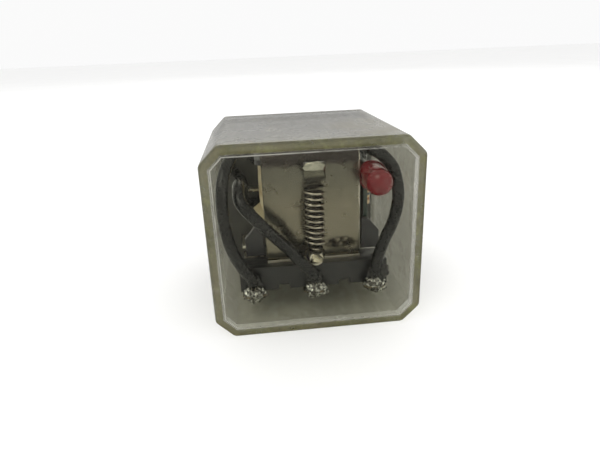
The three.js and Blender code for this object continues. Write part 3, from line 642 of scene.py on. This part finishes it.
def dust_cover():
    """The shell, from the middle of its closed end out over the edge, along the walls and back inside."""
    half_w, half_h, chamfer, wall = COVER["width"] / 2, COVER["height"] / 2, COVER["chamfer"], COVER["wall"]
    mouth = COVER["length"]
    edge, inner_edge = 0.7, 0.8                                 # how far the two edges are rounded
    outer_corner, inner_corner = 1.4, 0.8                       # radii of the octagon's corners

    def loop(inset, y, radius):
        shape = rounded_octagon(half_w - inset, half_h - inset, chamfer - inset * (2 - math.sqrt(2)), radius)
        return [at(x, y, z) for x, z in shape]

    loops = [loop(2.4, 0.02, 1.0)]
    loops += [loop(edge * (1 - math.sin(a)), edge * (1 - math.cos(a)), outer_corner)
              for a in (math.radians(d) for d in (0, 22, 45, 67, 90))]
    loops += [loop(0, y, outer_corner) for y in (6, 12, 18, 24, 30, mouth - 0.2)]
    loops += [loop(0.2, mouth, outer_corner), loop(wall - 0.2, mouth, 0.9)]
    loops += [loop(wall, y, inner_corner) for y in (mouth - 0.3, 30, 24, 18, 12, 6)]
    loops += [loop(wall + inner_edge * (1 - math.cos(a)), wall + inner_edge * (1 - math.sin(a)), inner_corner)
              for a in (math.radians(d) for d in (0, 30, 60, 90))]
    bm = bmesh.new()
    stack(bm, loops)
    piece = finish_mesh(bm, "dust_cover_look", CLEAR, sharp=50)
    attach(piece, "cover")
    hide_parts("dust_cover")


dust_cover()


# ---------------------------------------------------------------- leads, solder and spring

LEAD_START = {name: on_armature(x, -4.2, -3.7) for name, x in POLES.items()}
LEAD_ROUTES = {
    "left": [(-12.3, 4.7, -8.4), (-13.6, 4.6, -6.4), (-15, 4.8, -3.6), (-16.1, 5.2, 0.2), (-16.5, 5.8, 4.4),
             (-16.4, 7.2, 8.6), (-15.4, 10, 12), (-14.2, 14, 13.4), (-14, 19, 13), (-14.8, 24, 11),
             (-15.3, 28, 7.6), (-13.9, 30.6, 5.2), (-13.2, 31.1, 3.6), (-13.1, 31.2, 2.0)],
    "middle": [(-0.5, 4.7, -8.6), (-2, 4.6, -6.7), (-4.4, 4.7, -3.6), (-7.3, 5, -0.5), (-10.6, 5.4, 3),
               (-13.2, 7, 6), (-13.5, 10.5, 8), (-13.3, 15, 7.4), (-13, 20, 5), (-12.9, 25, 1.6),
               (-12, 28.9, -0.8), (-9.4, 31, -1.2), (-6.6, 31.1, 0.2), (-4.4, 31.1, 1.3), (-2.65, 31.1, 1.5)],
    "right": [(11.9, 4.9, -8.6), (12.5, 5.4, -6.2), (13.9, 6, -3), (15.6, 6.4, 0.6), (16.5, 6.7, 4.6),
              (16.3, 6.9, 8), (15.3, 7.2, 11.1), (13.3, 7.9, 13.4), (11.6, 10, 14.2), (11.3, 14, 14.4),
              (11.7, 20, 14), (13, 25, 12.2), (14.6, 28.2, 8.8), (14.3, 30.6, 5.8), (13.3, 31.1, 3.6),
              (13.1, 31.2, 2.0)],
}


def lead(name):
    """A black sleeve with shallow kinks, gathered in where it ends over the bare strands."""
    points = [LEAD_START[name]] + [at(*p) for p in LEAD_ROUTES[name]]
    seed = {"left": 3.1, "middle": 17.7, "right": 31.9}[name]
    full, gathered, gathering = 1.15, 0.62, 0.035   # radius, its share at the ends, the length that takes

    def radius(share, angle):
        bumps = noise.noise(Vector((share * 26 + seed, math.cos(angle) * 0.7, math.sin(angle) * 0.7)))
        end = min(share, 1 - share)
        taper = gathered + (1 - gathered) * min(1, end / gathering)
        return full * taper * (1 + 0.03 * bumps)

    bm = bmesh.new()
    tube(bm, smooth_path(points, 9), radius, 20)
    piece = finish_mesh(bm, f"lead_{name}_look", SLEEVE, sharp=60)
    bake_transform(piece)
    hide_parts(f"lead_{name}")


def lump(name, radii, place, seed, rough, material):
    """An uneven cast lump. `place` turns a local point into a place in the row frame."""
    bm = bmesh.new()
    bmesh.ops.create_icosphere(bm, subdivisions=4, radius=1)
    for vert in bm.verts:
        d = vert.co.normalized()
        bulge = 1 + rough * (noise.noise(d * 1.5 + seed) + 0.55 * noise.noise(d * 3.6 + seed)
                             + 0.25 * noise.noise(d * 8 + seed))
        vert.co = place(*(d[i] * radii[i] * bulge for i in range(3)))
    return finish_mesh(bm, name, material, sharp=80)


def solder_joint(name):
    """A mound of solder round the front end of an arm, where the lead's strands sink in."""
    x = POLES[name]
    piece = lump(f"solder_joint_{name}_look", (2.15, 1.2, 1.65),
                 lambda dx, dy, dz: on_armature(x + dx, -4.4 + dy, -5.15 + dz),
                 Vector((x * 3.1, 5.0, 2.0)), 0.42, SOLDER)
    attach(piece, "moving_contacts")
    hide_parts(f"solder_joint_{name}")


def lead_strands(name):
    """The lead's bared strands, fanned out into the solder."""
    x = POLES[name]
    count = 9
    bm = bmesh.new()
    for i in range(count):
        a = 2 * math.pi * i / count
        spread = 0.55 + 0.35 * noise.noise(Vector((i * 2.7, x, 1.5)))
        start = on_armature(x + 0.45 * math.cos(a), -4.2 + 0.45 * math.sin(a), -2.4)
        waist = on_armature(x + 0.6 * math.cos(a), -4.3 + 0.6 * math.sin(a), -3.3)
        end = on_armature(x + (0.9 + spread) * math.cos(a), -4.35 + (0.3 + 0.5 * spread) * math.sin(a), -4.5)
        tube(bm, smooth_path([start, waist, end], 4), 0.14, 6)
    piece = finish_mesh(bm, f"lead_strands_{name}_look", STRANDS, sharp=60)
    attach(piece, "moving_contacts")


def torn_sleeve(name, radii, lean):
    """The ragged end of a lead's sleeve, scorched and spread over the bare strands."""
    x = POLES[name]
    piece = lump(f"torn_sleeve_{name}_look", radii,
                 lambda dx, dy, dz: on_armature(x + lean + dx, -4.4 + dy, -2.6 + dz),
                 Vector((x * 1.7, 8.0, 4.0)), 0.62, SCORCHED)
    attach(piece, "moving_contacts")


def squared(t):
    """Spreads a rounded profile towards a square one."""
    return math.copysign(abs(t) ** 0.6, t)


def spring_holders():
    """The tongue that takes the spring's upper loop, and the clenched hook that takes the lower one."""
    def on_tongue(dx, dy, dz):
        return at(MOTOR_X + 2.05 * squared(dx), 5.2 + 0.75 * dy - 0.3 * dz * dz, 11.5 + 1.85 * squared(dz))

    def on_hook(dx, dy, dz):
        return on_armature(MOTOR_X + dx, -3.95 + dy, 1.0 + dz)

    tongue = lump("spring_tongue_look", (1, 1, 1), on_tongue, Vector((1.0, 7.0, 3.0)), 0.20, TONGUE)
    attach(tongue, "base_unit")
    hook = lump("spring_anchor_look", (1.4, 0.5, 1.15), on_hook, Vector((4.0, 1.0, 9.0)), 0.20, ANCHOR)
    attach(hook, "moving_contacts")


def return_spring():
    """Ten close turns, a hook loop at each end and a tighter wrap over the lower one."""
    radius, loop, y = SPRING["radius"], SPRING["loop"], SPRING["y"]
    bottom, top, turns = SPRING["bottom"], SPRING["top"], SPRING["turns"]
    per_turn, sides = 20, 10
    neck = 0.95                                             # from the last turn to the start of a loop
    wrap_turns, wrap_start, wrap_end, wrap_drop = 2, 1.45, 0.95, 1.9
    points = []

    def arc(centre, start, end, count):
        for i in range(count + 1):
            a = math.radians(start + (end - start) * i / count)
            points.append(at(MOTOR_X + loop * math.sin(a), y, centre + loop * math.cos(a)))

    arc(top + neck + loop, -150, 150, 18)
    for i in range(turns * per_turn + 1):
        a = 2 * math.pi * i / per_turn
        z = top + (bottom - top) * i / (turns * per_turn)
        points.append(at(MOTOR_X + radius * math.cos(a), y + radius * math.sin(a), z))
    arc(bottom - neck - loop, 30, 330, 18)
    wrap = []
    for i in range(wrap_turns * per_turn + 1):
        a = 2 * math.pi * i / per_turn
        share = i / (wrap_turns * per_turn)
        r = wrap_start + (wrap_end - wrap_start) * share
        z = bottom - 0.1 - wrap_drop * share
        wrap.append(at(MOTOR_X + r * math.cos(a), y - 0.4 + r * math.sin(a), z))
    bm = bmesh.new()
    tube(bm, smooth_path(points, 2), SPRING["wire"], sides)
    tube(bm, smooth_path(wrap, 2), SPRING["wire"], sides)
    piece = finish_mesh(bm, "return_spring_look", WIRE_STEEL, sharp=60)
    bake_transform(piece)
    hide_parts("return_spring")


for pole in POLES:
    lead(pole)
    solder_joint(pole)
    lead_strands(pole)
torn_sleeve("right", (1.75, 0.95, 1.6), 0.45)
torn_sleeve("middle", (1.4, 0.95, 1.2), -0.2)
torn_sleeve("left", (1.3, 0.9, 1.1), 0.1)
return_spring()
spring_holders()


# ---------------------------------------------------------------- indicator lamp

LAMP = {"x": 12.3, "z": 8.8}        # its middle


def lamp():
    """The lens, with a round body and a flange that has one flat side."""
    x, z, tip, rear = LAMP["x"], LAMP["z"], 2.4, 11.0
    radius, flange, flange_front = 2.5, 2.9, 9.9
    profile = [(radius * math.sin(a), tip + radius * (1 - math.cos(a)))
               for a in (math.radians(d) for d in range(5, 91, 8))]
    profile += [(radius, 6.5), (radius, flange_front - 0.15), (radius + 0.12, flange_front),
                (flange - 0.1, flange_front), (flange, flange_front + 0.12), (flange, rear - 0.12),
                (flange - 0.1, rear)]
    sides = 48
    loops = []
    for r, y in profile:
        ring = []
        for k in range(sides):
            a = 2 * math.pi * k / sides
            dx = r * math.cos(a)
            if y >= flange_front - 0.01:
                dx = max(dx, -radius + 0.1)
            ring.append(at(x + dx, y, z + r * math.sin(a)))
        loops.append(ring)
    bm = bmesh.new()
    stack(bm, loops)
    lens = finish_mesh(bm, "lamp_lens_look", RED, sharp=40)
    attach(lens, "base_unit")
    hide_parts("lamp_lens")


def lamp_bar(name, points, width, thick):
    """A flat bar inside the lens, wide along Z. Each point is (y, height above the lamp's middle, scale)."""
    flat, edge = 0.38, 0.5
    corners = [(-edge, -flat), (-flat, -edge), (flat, -edge), (edge, -flat),
               (edge, flat), (flat, edge), (-flat, edge), (-edge, flat)]
    bm = bmesh.new()
    stack(bm, [[at(LAMP["x"] + thick * scale * u, y, LAMP["z"] + dz + width * scale * v) for u, v in corners]
               for y, dz, scale in points])
    piece = finish_mesh(bm, name, TINNED, sharp=30)
    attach(piece, "base_unit")


lamp()
lamp_bar("lamp_cup_look", [(10.6, -1.27, 0.7), (8.4, -1.1, 0.8), (7.2, -0.4, 1.3), (6.0, -0.3, 1.9),
                           (5.8, -0.3, 1.6), (6.2, -0.3, 0.6)], 0.85, 0.6)
lamp_bar("lamp_post_look", [(10.6, 1.27, 0.7), (8.6, 1.2, 0.9), (6.9, 1.0, 1.0), (5.9, 0.95, 1.1)], 0.6, 0.5)


# ---------------------------------------------------------------- soldering at the blades and on the board

def component_leads(name, y, out, half):
    """A component's two leads, bent down to the board. Returns the places where they are soldered."""
    face, middle = 11.9, 3.0
    bend = [(out, -0.2), (out, 0.3), (out * 0.75, 0.85), (out * 0.3, 1.05), (-0.05, 1.1)]
    pads = {}
    bm = bmesh.new()
    for side, end_name in ((-1, "lower"), (1, "upper")):
        end = middle + side * half
        tube(bm, smooth_path([at(face + dx, y, end + side * dz) for dx, dz in bend], 4), 0.26, 10)
        pads[f"{name}_{end_name}"] = ((face + 0.1, y, end + side * 1.1), (0.35, 0.75, 0.75))
    wires = finish_mesh(bm, f"{name}_leads_look", TINNED, sharp=60)
    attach(wires, "base_unit")
    return pads


def solder_spot(name, centre, radii):
    spot = lump(f"solder_{name}_look", radii, lambda *offset: at(*(c + d for c, d in zip(centre, offset))),
                Vector(centre), 0.22, SOLDER)
    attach(spot, "base_unit")


def solder_spots():
    """Solder at the blades' inner tabs, on the lamp's pins and on the board."""
    tab, coil_end, pin = (1.2, 1.15, 0.6), (1.0, 0.9, 0.5), (0.55, 0.9, 0.7)
    spots = {
        "common_left": ((-13.0, 31.3, 2.0), tab),
        "common_middle": ((-2.5, 31.1, 1.5), (0.8, 1.2, 1.1)),
        "common_right": ((13.0, 31.3, 2.0), tab),
        "coil_left_under": ((-11.4, 31.2, 11.5), coil_end),
        "coil_right_under": ((11.9, 31.2, 11.5), coil_end),
        "coil_left_over": ((-11.7, 30.6, 12.3), coil_end),
        "coil_right_over": ((11.7, 30.6, 12.3), coil_end),
        "pin_lower": ((12.2, 16.4, 7.5), pin),
        "pin_upper": ((12.2, 16.4, 10.1), pin),
    }
    spots.update(component_leads("resistor", 19.5, 1.2, 4.3))
    spots.update(component_leads("diode", 24.0, 0.95, 3.3))
    for name, (centre, radii) in spots.items():
        solder_spot(name, centre, radii)


solder_spots()


# ---------------------------------------------------------------- coil tape

def coil_tape():
    """Cloth tape wound round the coil, with its laps showing as steps."""
    half_w, half_d, corner = 10.0, 8.1, 5.9
    low, high, centre_y = -4.3, 11.3, 20
    rows, lap_pitch, lap_depth = 26, 7.8, 0.05

    def outline(inset):
        return rounded_rectangle(half_w - inset, half_d - inset, corner - inset, 8)

    def wrinkled(px, py, z):
        broad = 0.055 * noise.noise(Vector((px * 0.45, py * 0.45, z * 0.35)))
        fine = 0.02 * noise.noise(Vector((px, py, z * 1.4)))
        swell = 1 + (broad + fine) / 10
        return at(MOTOR_X + px * swell, centre_y + py * swell, z)

    loops = []
    for i in range(rows + 1):
        z = low + (high - low) * i / rows
        lap = lap_depth if (z - low) % lap_pitch > lap_pitch / 2 else 0.0
        loops.append([wrinkled(px, py, z) for px, py in outline(0.06 + lap)])
    loops += [[at(MOTOR_X + px, centre_y + py, z) for px, py in outline(0.3)] for z in (high, low)]
    bm = bmesh.new()
    stack(bm, loops, capped=False)
    piece = finish_mesh(bm, "coil_tape_look", TAPE, sharp=50)
    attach(piece, "base_unit")
    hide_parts("coil_tape")


coil_tape()


def tape_end():
    """The loose end of the tape, lifted and torn aslant beside the frame."""
    rows, across, thick = 8, 5, 0.14
    sheets = ([], [])
    for i in range(rows + 1):
        t = i / rows
        for k in range(across + 1):
            u = k / across
            x = -10.9 + 1.3 * u + t * (1.7 - 0.2 * u)
            y = 11.0 + 0.8 * u - t * (2.0 + 0.9 * u) + 0.35 * math.sin(math.pi * t)
            z = 3.6 + 0.8 * u - t * (3.0 + 1.2 * u)
            for sheet, lift in zip(sheets, (0.0, thick)):
                sheet.append((x, y - lift, z))
    bm = bmesh.new()
    verts = [[bm.verts.new(at(*p)) for p in sheet] for sheet in sheets]
    wide = across + 1

    def ring(i, k):
        return i * wide + k

    for i in range(rows):
        for k in range(across):
            quad = (ring(i, k), ring(i, k + 1), ring(i + 1, k + 1), ring(i + 1, k))
            bm.faces.new([verts[0][q] for q in quad])
            bm.faces.new([verts[1][q] for q in reversed(quad)])
    outline = [ring(0, k) for k in range(wide)] + [ring(i, across) for i in range(1, rows + 1)]
    outline += [ring(rows, k) for k in reversed(range(across))]
    outline += [ring(i, 0) for i in reversed(range(1, rows))]
    for a, b in zip(outline, outline[1:] + outline[:1]):
        bm.faces.new((verts[0][a], verts[1][a], verts[1][b], verts[0][b]))
    piece = finish_mesh(bm, "tape_end_look", TAPE, sharp=50)
    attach(piece, "base_unit")


tape_end()


# ---------------------------------------------------------------- base details

def terminal_marks():
    """Raised marks beside the blades on the rear of the base, and a low collar round each blade."""
    rear = COVER["length"] + 1.7
    for kind, sides, marks in (("nc", POLES, "123"), ("no", POLES, "456"), ("common", POLES, "789"),
                               ("coil", ("left", "right"), "AB")):
        for side, mark in zip(sides, marks):
            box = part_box(f"{kind}_blade_{side}")
            number_mark(mark, box, rear)
            collar(f"{kind}_{side}", box, rear)


def number_mark(text, box, rear):
    """One raised character above a blade, read from behind."""
    curve = bpy.data.curves.new(f"number_{text}", "FONT")
    curve.body = text
    curve.size = 2.3 * MM
    curve.extrude = 0.14 * MM
    curve.bevel_depth = 0.03 * MM
    curve.align_x = "CENTER"
    writing = bpy.data.objects.new(f"number_{text}", curve)
    bpy.context.scene.collection.objects.link(writing)
    mesh = bpy.data.meshes.new_from_object(writing.evaluated_get(bpy.context.evaluated_depsgraph_get()))
    bpy.data.objects.remove(writing)
    mesh.name = f"terminal_number_{text}_look"
    middle = (box[0] + box[1]) / 2
    turn = Matrix(((-1, 0, 0), (0, 0, 1), (0, 1, 0))).to_4x4()
    place = Vector((middle.x, FRONT_Y + (rear + 0.1) * MM, middle.z + 0.95 * MM))
    mesh.transform(Matrix.Translation(place) @ turn)
    mesh.materials.clear()
    mesh.materials.append(BASE_PLASTIC)
    piece = bpy.data.objects.new(mesh.name, mesh)
    bpy.context.scene.collection.objects.link(piece)
    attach(piece, "base_unit")


def collar(name, box, rear):
    """A low rounded collar, moulded round a blade where it leaves the base."""
    middle = (box[0] + box[1]) / 2
    half_w, half_h = (box[1].x - box[0].x) / 2, (box[1].z - box[0].z) / 2

    def loop(grow, y):
        outline = rounded_rectangle(half_w + grow * MM, half_h + grow * MM, 0.35 * MM, 4)
        return [Vector((middle.x + dx, FRONT_Y + y * MM, middle.z + dz)) for dx, dz in outline]

    bm = bmesh.new()
    stack(bm, [loop(0.75, rear - 0.1), loop(0.75, rear + 0.2), loop(0.6, rear + 0.35), loop(0.2, rear + 0.35),
               loop(0.12, rear + 0.25), loop(0.12, rear - 0.1)], capped=False)
    piece = finish_mesh(bm, f"blade_collar_{name}_look", BASE_PLASTIC)
    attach(piece, "base_unit")


terminal_marks()


# ---------------------------------------------------------------- the other CAD nodes, with rounded edges

refined("frame", NICKEL, 0.18, 3)
refined("armature", ARMATURE_STEEL, 0.14, 2)
refined("contact_carrier", BLACK, 0.18, 2)
refined("bobbin", BOBBIN_GREY, 0.15, 2)
refined("base_block", BASE_PLASTIC, 0.2, 2)
refined("core", IRON, 0.12, 2)
refined("shading_ring", COPPER, 0.08, 2)
refined("coil_winding", COPPER, 0.1, 1)
refined("indicator_board", BOARD, 0.06, 1)
refined("resistor", RESISTOR, 0.08, 2)
refined("diode", DIODE, 0.08, 2)
for side in ("left", "right"):
    refined(f"carrier_rivet_{side}", TINNED, 0.08, 2)
    refined(f"frame_screw_{side}", TINNED, 0.06, 2)
    refined(f"coil_blade_{side}", TINNED, 0.08, 2)
    refined(f"coil_wire_{side}", COPPER, 0.02, 1, 70)
    refined(f"board_wire_{side}", SLEEVE, 0.02, 1, 70)
for pole in POLES:
    for kind in ("nc_blade", "no_blade", "common_blade"):
        refined(f"{kind}_{pole}", TINNED, 0.08, 2)
    for kind in ("nc_contact", "no_contact", "moving_contact"):
        refined(f"{kind}_{pole}", SILVER, 0.06, 2)
    refined(f"contact_arm_{pole}", BRONZE, 0.06, 2)
    refined(f"arm_rivet_{pole}", TINNED, 0.06, 2)
for pin in ("lower", "upper"):
    refined(f"lamp_pin_{pin}", TINNED, 0.04, 1)


# ---------------------------------------------------------------- floor, light and camera

def floor():
    """A plain pale table, just under the relay."""
    m = Nodes("pale_floor", (0.93, 0.93, 0.92), 0.75)
    m.set("Base Color", m.mix(m.ramp(m.noise(60, 2), 0.3, 0.7), (0.93, 0.93, 0.925), (0.95, 0.95, 0.945)))
    bm = bmesh.new()
    bmesh.ops.create_grid(bm, x_segments=2, y_segments=2, size=3)
    ground = finish_mesh(bm, "floor", m.material, smooth=False)
    ground.location.z = -0.02 * MM


def softbox(name, place, size, energy, colour=(1, 1, 1)):
    """A rectangular light, turned towards the relay."""
    light = bpy.data.lights.new(name, "AREA")
    light.shape = "RECTANGLE"
    light.size, light.size_y = size
    light.energy = energy
    light.color = colour
    lamp_object = bpy.data.objects.new(name, light)
    bpy.context.scene.collection.objects.link(lamp_object)
    lamp_object.location = place
    target = Vector((0, 0, 0.015))
    lamp_object.rotation_euler = (target - Vector(place)).to_track_quat("-Z", "Y").to_euler()


floor()
softbox("key_light", (-0.35, -0.35, 0.75), (0.5, 0.5), 2.2, (1, 0.99, 0.97))
softbox("fill_light", (0.6, -0.5, 0.35), (0.5, 0.4), 0.7)
softbox("back_light", (0.1, 0.7, 0.5), (0.6, 0.4), 0.7)

scene = bpy.context.scene
world = bpy.data.worlds.new("studio")
scene.world = world
world.use_nodes = True
world.node_tree.nodes["Background"].inputs[0].default_value = (1, 1, 1, 1)
world.node_tree.nodes["Background"].inputs[1].default_value = 0.96
scene.view_settings.view_transform = "Standard"

# The camera stands in front, a little left and above, as one would photograph the relay on a table.
yaw, pitch, roll = (math.radians(d) for d in (5.3, 20.6, -2.4))
across = Vector((math.cos(yaw), -math.sin(yaw), 0))
ahead = Vector((math.cos(pitch) * math.sin(yaw), math.cos(pitch) * math.cos(yaw), -math.sin(pitch)))
down = ahead.cross(across)
right = across * math.cos(roll) - down * math.sin(roll)
low = across * math.sin(roll) + down * math.cos(roll)
camera = bpy.data.objects.new("camera", bpy.data.cameras.new("camera"))
scene.collection.objects.link(camera)
camera.matrix_world = Matrix.Translation(at(-10.11, -76.57, 32.38)) @ Matrix(
    (right, -low, -ahead)).transposed().to_4x4()
camera.data.sensor_width = 36
camera.data.lens = 28.33
camera.data.clip_start = 0.001
scene.camera = camera
